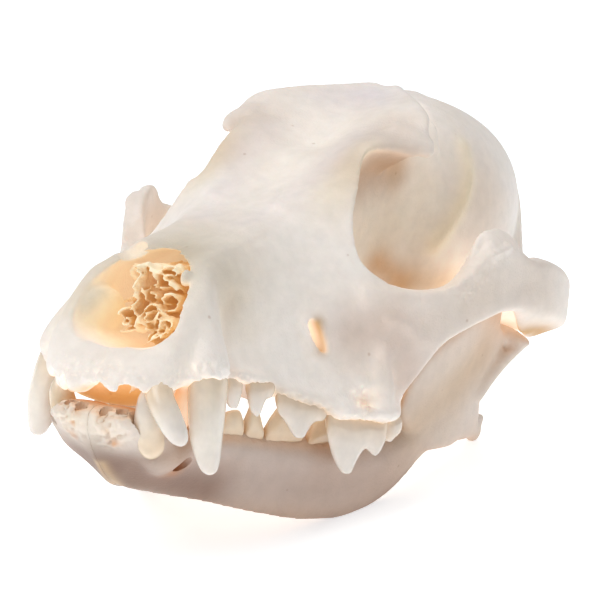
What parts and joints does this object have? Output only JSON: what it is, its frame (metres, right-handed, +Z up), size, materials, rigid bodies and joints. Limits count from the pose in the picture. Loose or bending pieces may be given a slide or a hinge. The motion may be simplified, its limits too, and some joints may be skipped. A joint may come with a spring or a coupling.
{
  "type": "dog skull",
  "caption": "Life-size skull of a medium, short-faced dog with its lower jaw closed, resting nose up on its mandible as a still museum model.",
  "frame": {"origin": "on the floor under the middle of the skull's bounding box", "axes": "+X to the skull's left, +Y backwards from the nose to the back of the head, +Z up from the floor"},
  "size_m": [0.1065, 0.1799, 0.082],
  "materials": {
    "bleached_bone": "dry degreased bone, pinkish white, smooth with fine pores and warm shade in its hollows",
    "tooth_enamel": "ivory tooth enamel, smooth and lightly glossy, yellower towards the neck",
    "nasal_bone": "paper-thin golden bone plates inside the nose"
  },
  "bodies": {
    "root": {"braincase": "bleached_bone", "muzzle": "bleached_bone", "zygomatic_left": "bleached_bone", "zygomatic_right": "bleached_bone", "mandible_left": "bleached_bone", "mandible_right": "bleached_bone", "turbinates": "nasal_bone"}
  },
  "joints": []
}
